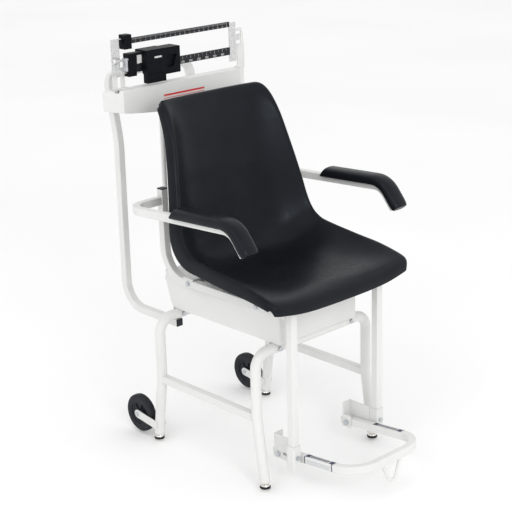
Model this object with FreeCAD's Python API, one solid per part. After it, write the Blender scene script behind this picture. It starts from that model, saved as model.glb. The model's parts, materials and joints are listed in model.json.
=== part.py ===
import FreeCAD, Part
import math
import os

V = FreeCAD.Vector

# ---------------------------------------------------------------------------
# Chair scale: a weighing chair on a lever base, with a two-bar weigh beam
# behind the back-rest.  +Z up, the chair faces -Y, +X is on the right-hand
# side of somebody who looks at its front.  Working coordinates are in mm,
# measured from the floor under the middle of the four feet; the finished
# pieces are moved so that the origin is the centre of the footprint box.
# ---------------------------------------------------------------------------

# --- tube stock ---
LEG_OD = 25.4
LEG_WALL = 1.6
SQ = 19.0
SQ_WALL = 1.6
SQ_CORNER = 2.2
SHEET = 1.5

# --- leg frames ---
LEG_X = 188.0
FOOT_Y = 195.6
KNEE_Y = 170.5
KNEE_Z = 177.0
BAR_Z = 333.0
LEG_END_Z = 21.0
KNEE_R = 70.0
LEG_TOP_R = 38.0

# --- lever base box ---
BOX_X = 131.0
BOX_FRONT = -192.6
BOX_REAR = 208.0
BOX_Z = BAR_Z + LEG_OD / 2 + 0.1
BOX_TOP = 438.0
BOX_BOLT_X = 121.0
BOX_CORNER = 7.0
BASE_BOLT_R = 3.0
TAB_T = 2.0

# --- column ---
COL_X = 131.6
COL_Y = 366.4
COL_FOOT_END = 163.0
COL_FOOT_Z = BAR_Z - LEG_OD / 2 - SQ / 2
COL_BEND_R = 65.0
COL_LEAN_Z = 742.0
COL_LEAN_R = 260.0
COL_TOP_Y = 398.0
COL_TOP_Z = 903.0
COL_TOP_R = 28.0

# --- beam shelf (housing) ---
SHELF_FRONT = 262.0
SHELF_BACK = 292.0
SHELF_X = 190.0
SHELF_END_X = 229.0
SHELF_TOP = 889.5
SHELF_END_Z = 843.0
SHELF_MID_Z = 820.0
BRACKET_Z = 855.0

# --- weigh beam ---
BEAM_Y = 277.0
BAR_T = 5.0
UPPER_Z0 = 996.5
UPPER_Z1 = 1009.5
LOWER_Z0 = 926.0
LOWER_Z1 = 945.0
PLATE_T = 3.0
PLATE_L0 = -208.0
PLATE_L1 = -185.0
PLATE_ARM = -158.0
PLATE_R0 = 168.0
PLATE_R1 = 190.0
PLATE_TOP = 1012.0
POINTER_X = 203.0
POINTER_Z = 967.5
POINTER_H = 16.0
FULCRUM_X = -170.0
FULCRUM_Z = 927.0
LOAD_X = -198.0
LOAD_Z = 941.0
PLATE_R_Z = 908.0
SCREW_R = 2.5
KNOB_AHEAD = 10.2
KNOB_R = 8.0
KNOB_X0 = -215.0
KNOB_X1 = -193.0
SCREW_END_X = -168.0
KNOB_Z = 961.5
BEAM_TILT = 1.2
TRIG_X0 = 194.0
TRIG_X1 = 214.0

# --- poises ---
BIG_X0 = -120.0
BIG_X1 = -57.0
BIG_FRONT = 255.0
BIG_BACK = 300.0
BIG_TOP = 977.0
BIG_FOOT_Z = 919.0
BIG_BOTTOM = 896.5
GRIP_X1 = -9.0
GRIP_TOP = 976.0
GRIP_Z0 = 911.5
TAIL_X0 = -166.0
TAIL_X1 = -142.0
TAIL_HALF = 10.0
TAIL_TOP = 974.0
NECK_Z = 967.5
SCOOP_TOP = 957.0
SCOOP_FOOT = 928.0
SMALL_X0 = -176.0
SMALL_X1 = -153.5
SMALL_Z0 = 985.5
SMALL_Z1 = 1020.0
BAR_GAP = 0.6

# --- steelyard and levers ---
ROD_X = -64.0
ROD_R = 2.5
COVER_R = 6.35
COVER_WALL = 1.2
COVER_Z0 = 398.0
COVER_Z1 = 843.0
LEVER_Z = 385.0
LEVER_H = 20.0
LEVER_T = 8.0
PIVOT_X = 104.0
LOAD_ARM = 30.0
FRONT_LOAD_Y = -140.7
REAR_LOAD_Y = 96.4
FRONT_PIVOT_Y = FRONT_LOAD_Y - LOAD_ARM
REAR_PIVOT_Y = REAR_LOAD_Y + LOAD_ARM
SHORT_TIP_Y = (FRONT_PIVOT_Y + REAR_PIVOT_Y) / 2
SHORT_DROP = 24.0
KNIFE_DROP = 5.0
KNIFE_GAP = 0.6
NOSE_Y = BEAM_Y
TRANSFER_X = 30.0
TRANSFER_Z = 862.0
TRANSFER_H = 10.0
TRANSFER_PIN_R = 3.0

# --- wheels ---
WHEEL_X = LEG_X
WHEEL_Y = 261.0
WHEEL_R = 49.0
WHEEL_W = 21.0
AXLE_Z = 54.5
AXLE_R = 4.0
HUB_R = 38.0
STRAP_T = 2.5
STRAP_HALF = 10.5
STRAP_Y = 193.5
STRAP_Z = 46.0

# --- seat frame ---
SEAT_X = 144.5
SEAT_Z = 433.8
SEAT_FRONT = -246.4
SEAT_UP_Y = 186.0
SEAT_BEND_R = 74.0
STUB_TOP = 653.0
STUB_TOP_Y = 190.0
RAIL_T = 4.0
RAIL_W = 34.0
FLANGE_T = 2.0
SHELL_POST_X = 80.0

# --- hangers and foot-rest ---
SLEEVE_Z0 = 56.0
SLEEVE_Z1 = 116.0
SLEEVE_W = 24.0
SLEEVE_WALL = 2.3
FOOT_X = 118.0
FOOT_PIVOT_Y = -182.0
FOOT_PIVOT_Z = 69.0
FOOT_TAIL = 22.0
FOOT_TILT = 5.7
FOOT_REACH = 237.0
FOOT_R = 66.0
FOOT_WALL_Y = -171.5
FOOT_BRACKET_TOP = 119.0
FOOT_BRACKET_Z0 = 58.0
FOOT_BOLT_R = 4.0
FOOT_T = 2.5
TOE_R = 4.0
TOE_HALF = 30.0
TOE_DROP = 46.0

# --- arms ---
ARM_GAP = 0.5
ARM_X = 248.0
ARM_PIVOT_Y = 191.5
ARM_PIVOT_Z = 624.5
ARM_BACK_R = 46.0
ARM_RISE = 3.0
ARM_BEND_Y = -172.0
ARM_TURN = 54.0
ARM_TIP = 62.0
ARM_FRONT_R = 44.0
ARM_PIN_R = 4.0
ARM_PLUG = 18.0
PAD_BACK_Y = 24.0
PAD_W = 46.0
PAD_UNDER = 4.5
PAD_TOP = 29.5
PAD_SLANT = 26.0
PAD_CORNER = 11.0
PAD_LIP = 8.0

# --- seat shell: centre line (y, z), rim crest (half width, y, z), depth of the flank ---
SHELL_T = 7.0
SHELL_STATIONS = [((-286.0, 446.0), (214.0, -281.0, 459.0), 13.0),
                  ((-285.2, 462.0), (220.0, -278.0, 476.0), 15.0),
                  ((-275.0, 477.0), (225.0, -269.0, 487.0), 18.0),
                  ((-242.0, 484.5), (226.5, -249.0, 496.0), 22.0),
                  ((-180.0, 480.5), (224.0, -185.0, 511.0), 30.0),
                  ((-120.0, 475.5), (222.5, -120.0, 518.5), 33.0),
                  ((-10.0, 468.5), (219.5, -20.0, 532.5), 36.0),
                  ((50.0, 477.5), (218.6, 12.0, 541.5), 40.0),
                  ((90.0, 511.5), (216.5, 33.0, 559.5), 40.0),
                  ((108.0, 574.5), (213.0, 47.0, 589.5), 35.0),
                  ((113.0, 629.5), (206.0, 58.0, 636.5), 29.0),
                  ((118.0, 689.5), (197.0, 71.0, 689.5), 27.0),
                  ((131.0, 749.5), (186.0, 86.0, 747.5), 27.0),
                  ((146.0, 804.5), (176.5, 103.0, 802.5), 27.0),
                  ((159.0, 844.5), (170.0, 126.0, 844.5), 25.0),
                  ((167.0, 863.5), (165.5, 145.0, 864.0), 21.0),
                  ((174.0, 870.5), (160.0, 158.0, 871.5), 15.0)]

CLEAR = 0.05

pieces = {}


# ---------------------------------------------------------------------------
# building blocks
# ---------------------------------------------------------------------------
def keep(name, *shapes):
    """Add solids to the named piece."""
    pieces.setdefault(name, []).extend(shapes)


def block(x0, x1, y0, y1, z0, z1):
    low = V(min(x0, x1), min(y0, y1), min(z0, z1))
    return Part.makeBox(abs(x1 - x0), abs(y1 - y0), abs(z1 - z0), low)


def pin(start, end, radius):
    return Part.makeCylinder(radius, (end - start).Length, start, end - start)


def unit(vector):
    return vector * (1.0 / vector.Length)


def outward(solid):
    """The same solid with its faces turned outwards."""
    solid = Part.Solid(solid.Shells[0])
    if solid.Volume < 0:
        solid.reverse()
    return solid


def fuse(shapes):
    """One solid made of solids that touch or overlap."""
    if len(shapes) == 1:
        return shapes[0]
    joined = shapes[0].fuse(shapes[1:]).removeSplitter()
    return joined.Solids[0] if len(joined.Solids) == 1 else joined


def polygon_solid(points, direction):
    """Extrude the closed outline through the given points."""
    return outward(Part.Face(Part.makePolygon(points + [points[0]])).extrude(direction))


def facet(a, b, c):
    return Part.Face(Part.makePolygon([a, b, c, a]))


def turned(outline, axis):
    """Turn a closed outline once round an axis through the origin."""
    return outward(Part.Face(Part.makePolygon(outline + [outline[0]])).revolve(V(0, 0, 0), axis, 360))


def round_rect(width, height, radius):
    """Closed wire in the XY plane, centred on the origin."""
    w = width / 2
    h = height / 2
    r = radius
    d = r * (1 - math.sqrt(0.5))
    edges = [Part.makeLine(V(-w + r, -h, 0), V(w - r, -h, 0)),
             Part.Arc(V(w - r, -h, 0), V(w - d, -h + d, 0), V(w, -h + r, 0)).toShape(),
             Part.makeLine(V(w, -h + r, 0), V(w, h - r, 0)),
             Part.Arc(V(w, h - r, 0), V(w - d, h - d, 0), V(w - r, h, 0)).toShape(),
             Part.makeLine(V(w - r, h, 0), V(-w + r, h, 0)),
             Part.Arc(V(-w + r, h, 0), V(-w + d, h - d, 0), V(-w, h - r, 0)).toShape(),
             Part.makeLine(V(-w, h - r, 0), V(-w, -h + r, 0)),
             Part.Arc(V(-w, -h + r, 0), V(-w + d, -h + d, 0), V(-w + r, -h, 0)).toShape()]
    return Part.Wire(edges)


def place(shape, origin, side, up):
    """Put a shape drawn in XY at origin, with local X along side and Y along up."""
    side = unit(side)
    up = unit(up)
    out = side.cross(up)
    matrix = FreeCAD.Matrix(side.x, up.x, out.x, origin.x,
                            side.y, up.y, out.y, origin.y,
                            side.z, up.z, out.z, origin.z,
                            0, 0, 0, 1)
    moved = shape.copy()
    moved.transformShape(matrix)
    return moved


def square_section(side=SQ, wall=SQ_WALL, corner=SQ_CORNER):
    outer = Part.Face(round_rect(side, side, corner))
    if not wall:
        return outer
    inner = Part.Face(round_rect(side - 2 * wall, side - 2 * wall, max(corner - wall, 0.4)))
    return outer.cut(inner).Faces[0]


def round_section(radius, wall=0):
    outer = Part.Face(Part.Wire([Part.makeCircle(radius)]))
    if not wall:
        return outer
    return outer.cut(Part.Face(Part.Wire([Part.makeCircle(radius - wall)]))).Faces[0]


def carry(section, points, radii, up):
    """Carry a flat section along straight runs that are joined by tangent arcs.

    up is the section's local Y at the start, square to the first run."""
    run = unit(points[1] - points[0])
    up = unit(up - run * up.dot(run))
    face = place(section, points[0], up.cross(run), up)
    solids = []
    here = points[0]
    for i in range(1, len(points)):
        run = unit(points[i] - points[i - 1])
        turn = 0
        cut = 0
        if i < len(points) - 1:
            after = unit(points[i + 1] - points[i])
            turn = run.getAngle(after)
            radius = radii[i - 1]
            cut = radius * math.tan(turn / 2)
        end = points[i] - run * cut
        step = end - here
        solids.append(outward(face.extrude(step)))
        face = face.translated(step)
        here = end
        if turn:
            axis = unit(run.cross(after))
            centre = here + axis.cross(run) * radius
            solids.append(outward(face.revolve(centre, axis, math.degrees(turn))))
            face = face.copy()
            face.rotate(centre, axis, math.degrees(turn))
            here = points[i] + after * cut
    return fuse(solids)


def mirror_x(shape):
    return shape.mirror(V(0, 0, 0), V(1, 0, 0))


def both_sides(name, left_shape):
    """Keep a left-hand shape and its mirror image as two pieces."""
    keep(name + "_left", left_shape)
    keep(name + "_right", mirror_x(left_shape))


def bolt(head_at, direction, radius, length, head_r, head_h):
    """Hex-head bolt: the head stands out against direction, the shank runs along it."""
    run = unit(direction)
    side = run.cross(V(0, 0, 1)) if abs(run.z) < 0.9 else V(1, 0, 0)
    side = unit(side)
    over = run.cross(side)
    ring = []
    for k in range(6):
        a = math.radians(60 * k + 30)
        ring.append(head_at - run * head_h + side * (head_r * math.cos(a)) + over * (head_r * math.sin(a)))
    head = polygon_solid(ring, run * head_h)
    return fuse([head, pin(head_at, head_at + run * length, radius)])


# ---------------------------------------------------------------------------
# leg frames, feet and side stretchers
# ---------------------------------------------------------------------------
def leg_route(sign):
    knee = KNEE_Y * sign
    drop = (KNEE_Z - LEG_END_Z) / KNEE_Z
    foot_y = knee + (FOOT_Y - KNEE_Y) * drop * sign
    left = [V(-LEG_X, foot_y, LEG_END_Z), V(-LEG_X, knee, KNEE_Z), V(-LEG_X, knee, BAR_Z)]
    right = [V(-p.x, p.y, p.z) for p in reversed(left)]
    return left + right


def leg_tube(sign, wall):
    radii = [KNEE_R, LEG_TOP_R, LEG_TOP_R, KNEE_R]
    return carry(round_section(LEG_OD / 2, wall), leg_route(sign), radii, V(1, 0, 0))


def build_foot(sign_x, sign_y):
    """Plated foot with a stem inside the leg, and its rubber ring on the floor."""
    route = leg_route(sign_y)
    end = route[0] if sign_x < 0 else route[-1]
    knee = route[1] if sign_x < 0 else route[-2]
    axis = unit(knee - end)
    stem = pin(end - axis * 2.0, end + axis * 18.0, LEG_OD / 2 - LEG_WALL - CLEAR)
    collar = pin(end - axis * 3.5, end, LEG_OD / 2)
    base = V(end.x, end.y + 0.9 * sign_y, 0)
    outline = [V(0, 0, 10.5), V(11.6, 0, 10.5), V(11.9, 0, 12), V(10.4, 0, 14.5), V(7.5, 0, 16.5),
               V(7.0, 0, 19), V(0, 0, 19)]
    cup = turned(outline, V(0, 0, 1)).translated(base)
    glide = [V(0, 0, 0), V(10.9, 0, 0), V(12.4, 0, 1.5), V(12.4, 0, 4.5), V(0, 0, 4.5)]
    keep("foot_cups", fuse([stem, collar, cup]), turned(glide, V(0, 0, 1)).translated(base))
    ring = [V(0, 0, 4.5), V(12.2, 0, 4.5), V(13.0, 0, 6), V(13.0, 0, 9), V(12.2, 0, 10.5), V(0, 0, 10.5)]
    keep("foot_rings", turned(ring, V(0, 0, 1)).translated(base))


def base_bolt(x, y):
    """Bolt through a leg bar and the tab of the box behind it, with its nut."""
    head_y = y - LEG_OD / 2
    grip = LEG_OD + TAB_T
    screw = bolt(V(x, head_y, BAR_Z), V(0, 1, 0), BASE_BOLT_R, grip, 6.0, 4.5)
    nut = bolt(V(x, head_y + grip, BAR_Z), V(0, -1, 0), BASE_BOLT_R, 1.0, 6.0, 4.5)
    return fuse([screw, nut])


def build_legs():
    base_bolts = [base_bolt(x, y) for y in (-KNEE_Y, KNEE_Y) for x in (-BOX_BOLT_X, BOX_BOLT_X)]
    keep("base_bolts", *base_bolts)
    keep("front_leg_frame", leg_tube(-1, LEG_WALL).cut(base_bolts[:2]))
    keep("rear_leg_frame", leg_tube(1, LEG_WALL).cut(base_bolts[2:]))
    for sign_x in (-1, 1):
        for sign_y in (-1, 1):
            build_foot(sign_x, sign_y)
    ends = [V(-LEG_X, -KNEE_Y + 4, KNEE_Z), V(-LEG_X, KNEE_Y - 4, KNEE_Z)]
    stretcher = carry(square_section(), ends, [], V(0, 0, 1)).cut([leg_tube(-1, 0), leg_tube(1, 0)])
    keep("side_stretchers", stretcher, mirror_x(stretcher))


# ---------------------------------------------------------------------------
# lever base box
# ---------------------------------------------------------------------------
def box_outline(inset, top):
    """Side outline of the box: upright front, and a rear that slopes in at its foot."""
    return [V(0, BOX_FRONT + inset, BOX_Z + inset),
            V(0, BOX_FRONT + inset, top),
            V(0, BOX_REAR - inset, top),
            V(0, BOX_REAR - inset, 414.0),
            V(0, BOX_REAR - 18.0 - inset, 356.0),
            V(0, BOX_REAR - 22.0 - inset, 350.0 + inset * 0.6),
            V(0, BOX_REAR - 30.0 - inset, BOX_Z + inset)]


def box_solid(inset, top):
    half = BOX_X - inset
    points = [p + V(-half, 0, 0) for p in box_outline(inset, top)]
    return polygon_solid(points, V(2 * half, 0, 0))


def rounded_box(inset, top):
    """The box outline as a solid whose two upright front corners are bent round."""
    solid = box_solid(inset, top)
    corners = [e for e in solid.Edges
               if e.BoundBox.XLength < 0.1 and e.BoundBox.YLength < 0.1 and e.BoundBox.YMax < 0]
    return solid.makeFillet(BOX_CORNER - inset, corners)


def build_box():
    shell = rounded_box(0, BOX_TOP).cut(rounded_box(SHEET, BOX_TOP + 1))
    tabs = []
    for y in (-KNEE_Y + LEG_OD / 2, KNEE_Y + LEG_OD / 2):
        for x in (-BOX_BOLT_X, BOX_BOLT_X):
            tab = block(x - 9, x + 9, y, y + TAB_T, BAR_Z - 12, BOX_Z + 8)
            tabs.append(tab.cut(pin(V(x, y - 1, BAR_Z), V(x, y + 5, BAR_Z), BASE_BOLT_R)))
    shell = fuse([shell] + tabs)
    nose_slot = block(ROD_X - 16, ROD_X + 16, BOX_REAR - 40, BOX_REAR + 5, LEVER_Z - 18, LEVER_Z + 18)
    keep("base_box", shell.cut(nose_slot))

    half = BOX_X - SHEET
    lid = block(-half, half, BOX_FRONT, BOX_REAR, BOX_TOP - SHEET, BOX_TOP)
    lid = lid.common(rounded_box(SHEET + 0.2, BOX_TOP))
    lip_y = BOX_FRONT + SHEET + 0.5
    lip = block(-BOX_X + 12, BOX_X - 12, lip_y, lip_y + SHEET, BOX_TOP - 14, BOX_TOP)
    holes = [Part.makeCylinder(14, 20, V(x, y, BOX_TOP - 10))
             for x in (-PIVOT_X, PIVOT_X) for y in (FRONT_LOAD_Y, REAR_LOAD_Y)]
    keep("base_lid", fuse([lid, lip]).cut(holes))


# ---------------------------------------------------------------------------
# column, beam shelf and stands
# ---------------------------------------------------------------------------
def column(wall):
    left = [V(-COL_X, COL_FOOT_END, COL_FOOT_Z), V(-COL_X, COL_Y, COL_FOOT_Z), V(-COL_X, COL_Y, COL_LEAN_Z),
            V(-COL_X, COL_TOP_Y, COL_TOP_Z)]
    route = left + [V(-p.x, p.y, p.z) for p in reversed(left)]
    radii = [COL_BEND_R, COL_LEAN_R, COL_TOP_R, COL_TOP_R, COL_LEAN_R, COL_BEND_R]
    return carry(square_section(SQ, wall), route, radii, V(0, 0, 1))


def build_column():
    keep("column_frame", column(SQ_WALL))
    hole = SQ - 2 * SQ_WALL - 2 * CLEAR
    for x in (-COL_X, COL_X):
        plug = block(x - hole / 2, x + hole / 2, COL_FOOT_END, COL_FOOT_END + 10,
                     COL_FOOT_Z - hole / 2, COL_FOOT_Z + hole / 2)
        cap = block(x - SQ / 2, x + SQ / 2, COL_FOOT_END - 2.5, COL_FOOT_END,
                    COL_FOOT_Z - SQ / 2, COL_FOOT_Z + SQ / 2)
        keep("column_plugs", fuse([cap.makeFillet(1.0, cap.Edges), plug]))

    length = COVER_Z1 - COVER_Z0
    cover = Part.makeCylinder(COVER_R, length, V(ROD_X, BEAM_Y, COVER_Z0))
    bore = Part.makeCylinder(COVER_R - COVER_WALL, length + 40, V(ROD_X, BEAM_Y, COVER_Z0 - 20))
    shelf_z = COVER_Z0 + 8
    foot_plate = block(ROD_X - 10, ROD_X + 10, BOX_REAR, BEAM_Y, shelf_z, shelf_z + 3)
    tab = block(ROD_X - 10, ROD_X + 10, BOX_REAR, BOX_REAR + 3, shelf_z, shelf_z + 26)
    high = block(ROD_X - 8, ROD_X + 8, BEAM_Y, SHELF_BACK - SHEET, COVER_Z1 - 12, COVER_Z1 - 9)
    keep("rod_cover", fuse([cover, foot_plate, tab, high]).cut(bore))


def shelf_plan(inset, z):
    """Plan of the shelf: flat front, bevelled ends, flat back."""
    end = SHELF_END_X - inset
    return [V(-SHELF_X, SHELF_FRONT + inset, z), V(SHELF_X, SHELF_FRONT + inset, z),
            V(end, SHELF_BACK - 2, z), V(end, SHELF_BACK - inset, z),
            V(-end, SHELF_BACK - inset, z), V(-end, SHELF_BACK - 2, z)]


def build_shelf():
    low = SHELF_MID_Z - 10
    shell = polygon_solid(shelf_plan(0, low), V(0, 0, SHELF_TOP - low))
    hollow = polygon_solid(shelf_plan(SHEET, low - 1), V(0, 0, SHELF_TOP - low - SHEET + 1))
    side = SHELF_END_X + 5
    bow = Part.Arc(V(-side, 0, SHELF_END_Z), V(0, 0, SHELF_MID_Z), V(side, 0, SHELF_END_Z)).toShape()
    under = [bow, Part.makeLine(V(side, 0, SHELF_END_Z), V(side, 0, low - 30)),
             Part.makeLine(V(side, 0, low - 30), V(-side, 0, low - 30)),
             Part.makeLine(V(-side, 0, low - 30), V(-side, 0, SHELF_END_Z))]
    cut_away = outward(Part.Face(Part.Wire(under)).extrude(V(0, 400, 0)))
    link_slot = block(LOAD_X - 9, LOAD_X + 9, BEAM_Y - 9, BEAM_Y + 9, SHELF_TOP - 5, SHELF_TOP + 5)
    keep("beam_shelf", shell.cut([hollow, cut_away, link_slot]))

    post = column(0)
    for x in (-COL_X, COL_X):
        arm = block(x - SQ / 2, x + SQ / 2, SHELF_BACK, COL_TOP_Y, BRACKET_Z - 4, BRACKET_Z + 4)
        tab = block(x - SQ / 2, x + SQ / 2, SHELF_BACK, SHELF_BACK + 4, BRACKET_Z - 10, BRACKET_Z + 14)
        trimmed = fuse([arm, tab]).cut(post)
        keep("shelf_brackets", min(trimmed.Solids, key=lambda s: s.BoundBox.YMin))


def build_stands():
    x = FULCRUM_X
    back = BEAM_Y + 3.2
    foot_plate = block(x - 12, x + 12, back, BEAM_Y + 14, SHELF_TOP, SHELF_TOP + 3)
    cheek = block(x - 9, x + 2.8, BEAM_Y + 6, BEAM_Y + 9, SHELF_TOP, FULCRUM_Z + 1)
    seat_z = FULCRUM_Z - KNIFE_GAP
    vee = polygon_solid([V(x - 5, 0, seat_z + 6.6), V(x, 0, seat_z), V(x + 5, 0, seat_z + 6.6)], V(0, 400, 0))
    keep("fulcrum_stand", fuse([foot_plate, cheek]).cut(vee))

    y = BEAM_Y - 1.5
    outline = [V(TRIG_X0, y, SHELF_TOP), V(TRIG_X0, y, 986.0), V(TRIG_X0 + 5, y, 992.0),
               V(TRIG_X1 - 4, y, 990.0), V(TRIG_X1 + 1, y, 974.0), V(TRIG_X1 + 4, y, 940.0),
               V(TRIG_X1 + 4, y, SHELF_TOP)]
    plate = polygon_solid(outline, V(0, 3, 0))
    travel = math.sin(math.radians(BEAM_TILT)) * (POINTER_X - FULCRUM_X)
    reach = POINTER_H / 2 + travel + 0.8
    window = block(TRIG_X0 - 2, POINTER_X + 4, 0, 400, POINTER_Z - reach, POINTER_Z + reach)
    flange = block(TRIG_X0, TRIG_X1 + 4, y, BEAM_Y + 12, SHELF_TOP, SHELF_TOP + 2.5)
    low = block(TRIG_X0, POINTER_X + 4, y - 4, y, POINTER_Z - reach - 3.5, POINTER_Z - reach)
    high = block(TRIG_X0, POINTER_X + 4, y - 4, y, POINTER_Z + reach, POINTER_Z + reach + 3.5)
    keep("trig_stand", fuse([plate.cut(window), flange, low, high]))


# ---------------------------------------------------------------------------
# transport wheels
# ---------------------------------------------------------------------------
def build_wheels():
    half_leg = LEG_OD / 2 + CLEAR
    for name, side in (("left", -1), ("right", 1)):
        x = side * WHEEL_X
        axle_at = V(x, WHEEL_Y, AXLE_Z)
        leg_at = V(x, STRAP_Y, STRAP_Z)
        run = axle_at - leg_at
        up = V(1, 0, 0).cross(unit(run)) * STRAP_HALF
        for face in (-1, 1):
            start = leg_at + V(face * half_leg, 0, 0)
            thick = V(face * STRAP_T, 0, 0)
            plate = polygon_solid([start - up, start + run - up, start + run + up, start + up], thick)
            ends = [pin(at, at + thick, STRAP_HALF) for at in (start, start + run)]
            hole = pin(start + run - thick, start + run + thick * 2, AXLE_R)
            keep("wheel_straps", fuse([plate] + ends).cut(hole))

        outer = V(half_leg + STRAP_T, 0, 0)
        shank = pin(axle_at - outer, axle_at + outer, AXLE_R)
        head = pin(axle_at - outer - V(3.0, 0, 0), axle_at - outer, 5.5)
        nut = pin(axle_at + outer, axle_at + outer + V(3.0, 0, 0), 5.5)
        keep("wheel_bolts", fuse([head, shank, nut]))

        def disc(radius, half):
            return pin(axle_at - V(half, 0, 0), axle_at + V(half, 0, 0), radius)
        tyre = disc(WHEEL_R, WHEEL_W / 2)
        tyre = tyre.makeFillet(4.0, tyre.Edges).cut(disc(HUB_R, WHEEL_W))
        keep("tyre_" + name, tyre)
        rim = disc(HUB_R, WHEEL_W / 2 - 2).cut(disc(HUB_R - 4, WHEEL_W))
        boss = disc(9.0, LEG_OD / 2 - 0.35)
        keep("hub_" + name, fuse([disc(HUB_R, 4.0), rim, boss]).cut(disc(AXLE_R + CLEAR, WHEEL_W)))


# ---------------------------------------------------------------------------
# levers inside the base, steelyard rod and transfer lever
# ---------------------------------------------------------------------------
def lever_arm(start, end):
    """Cast lever limb: a tall narrow bar between two points at the same height."""
    run = unit(end - start)
    side = V(-run.y, run.x, 0) * (LEVER_T / 2)
    low = V(0, 0, -LEVER_H / 2)
    return polygon_solid([start + side + low, end + side + low, end - side + low, start - side + low],
                         V(0, 0, LEVER_H))


def knife(x0, x1, y, z, tip):
    """Knife-edge pivot along X with its back at z and its edge at z + tip."""
    half = abs(tip) * 0.5
    return polygon_solid([V(x0, y - half, z), V(x0, y + half, z), V(x0, y, z + tip)], V(x1 - x0, 0, 0))


def lever_pivots(side, pivot_y, load_y):
    """Fulcrum edge on the outer face of a lever's end and load edge on its top."""
    x = side * PIVOT_X
    fulcrum = knife(x + side * 6, x + side * 19, pivot_y, LEVER_Z + 3, -KNIFE_DROP - 3)
    load = knife(x - 6, x + 6, load_y, LEVER_Z + LEVER_H / 2, 3.0)
    return [fulcrum, load]


def build_levers():
    z = LEVER_Z
    top = z + LEVER_H / 2
    sides = (-1, 1)
    fork = V(0, 60.0, z)
    limbs = [lever_arm(V(s * PIVOT_X, FRONT_PIVOT_Y, z), fork) for s in sides]
    pads = [block(s * PIVOT_X - 6, s * PIVOT_X + 6, FRONT_PIVOT_Y - 9, FRONT_LOAD_Y + 9, z - LEVER_H / 2, top)
            for s in sides]
    stem = [lever_arm(fork - V(0, 6, 0), V(ROD_X, 200, z)),
            lever_arm(V(ROD_X, 196, z), V(ROD_X, NOSE_Y - 6, z))]
    cross_half = PIVOT_X * (fork.y - SHORT_TIP_Y) / (fork.y - FRONT_PIVOT_Y)
    cross = block(-cross_half, cross_half, SHORT_TIP_Y - 5, SHORT_TIP_Y + 5, z - 8, z + 8)
    eye = Part.makeCylinder(9, 8, V(ROD_X, NOSE_Y, z - 4))
    long_lever = fuse(limbs + pads + stem + [cross, eye])
    trim = block(ROD_X - 20, ROD_X + 20, NOSE_Y - 9, NOSE_Y + 20, z + 4, z + 20)
    trim_low = block(ROD_X - 20, ROD_X + 20, NOSE_Y - 9, NOSE_Y + 20, z - 20, z - 4)
    hole = Part.makeCylinder(ROD_R + 1.0, 40, V(ROD_X, NOSE_Y, z - 20))
    keep("long_lever", long_lever.cut([trim, trim_low, hole]))

    low = z - SHORT_DROP
    tip = V(0, SHORT_TIP_Y, low)
    short = [lever_arm(V(s * PIVOT_X, REAR_PIVOT_Y, low), tip) for s in sides]
    ends = [block(s * PIVOT_X - 6, s * PIVOT_X + 6, REAR_LOAD_Y - 9, REAR_PIVOT_Y + 9, low - LEVER_H / 2, top)
            for s in sides]
    hook = block(-5, 5, SHORT_TIP_Y - 5, SHORT_TIP_Y + 5, low - LEVER_H / 2, z - 8 - KNIFE_GAP)
    keep("short_lever", fuse(short + ends + [hook]))

    for s in sides:
        keep("long_lever_pivots", *lever_pivots(s, FRONT_PIVOT_Y, FRONT_LOAD_Y))
        keep("short_lever_pivots", *lever_pivots(s, REAR_PIVOT_Y, REAR_LOAD_Y))
        for y in (FRONT_PIVOT_Y, REAR_PIVOT_Y):
            x = s * (PIVOT_X + 13)
            stand = block(x - 5, x + 5, y - 10, y + 10, BOX_Z + SHEET, z - 1)
            notch = z - KNIFE_DROP - KNIFE_GAP
            vee = polygon_solid([V(x - 9, y - 9, z), V(x - 9, y + 9, z), V(x - 9, y, notch)], V(18, 0, 0))
            keep("fulcrum_posts", stand.cut(vee))

    build_rod()


def build_rod():
    hook_z = LEVER_Z - 4 - KNIFE_GAP - 2.5
    lever_half = TRANSFER_H / 2
    low = TRANSFER_Z - lever_half - 11
    rod = Part.makeCylinder(ROD_R, low - hook_z, V(ROD_X, BEAM_Y, hook_z))
    hook = Part.makeCylinder(ROD_R + 3, 2.5, V(ROD_X, BEAM_Y, hook_z))
    high = TRANSFER_Z + lever_half + KNIFE_GAP
    yoke = block(ROD_X - 5, ROD_X + 5, BEAM_Y - 5.7, BEAM_Y + 5.7, low, high + 5)
    inside = block(ROD_X - 6, ROD_X + 6, BEAM_Y - 3.3, BEAM_Y + 3.3, low + 5, high)
    keep("steelyard_rod", fuse([rod, hook, yoke]).cut(inside))

    lever = block(LOAD_X - 4, TRANSFER_X + 8, BEAM_Y - 2.5, BEAM_Y + 2.5, TRANSFER_Z - lever_half,
                  TRANSFER_Z + lever_half)
    axle_front = V(TRANSFER_X, SHELF_FRONT + SHEET, TRANSFER_Z)
    axle_back = V(TRANSFER_X, SHELF_BACK - SHEET, TRANSFER_Z)
    boss = pin(V(TRANSFER_X, BEAM_Y - 5, TRANSFER_Z), V(TRANSFER_X, BEAM_Y + 5, TRANSFER_Z), 7.5)
    keep("transfer_lever", fuse([lever, boss]).cut(pin(axle_front, axle_back, TRANSFER_PIN_R + CLEAR)))
    keep("transfer_pin", pin(axle_front, axle_back, TRANSFER_PIN_R))

    back = BEAM_Y + 6.5
    under = TRANSFER_Z - lever_half - KNIFE_GAP
    strip = block(LOAD_X - 7, LOAD_X + 7, back - 1.5, back, under - 3, LOAD_Z + 6)
    window = block(LOAD_X - 4.5, LOAD_X + 4.5, back - 3, back + 1, LOAD_Z - 8, LOAD_Z + KNIFE_GAP)
    foot_bar = block(LOAD_X - 7, LOAD_X + 7, BEAM_Y - 1.5, back, under - 3, under)
    keep("load_link", fuse([strip, foot_bar]).cut(window))


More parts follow.
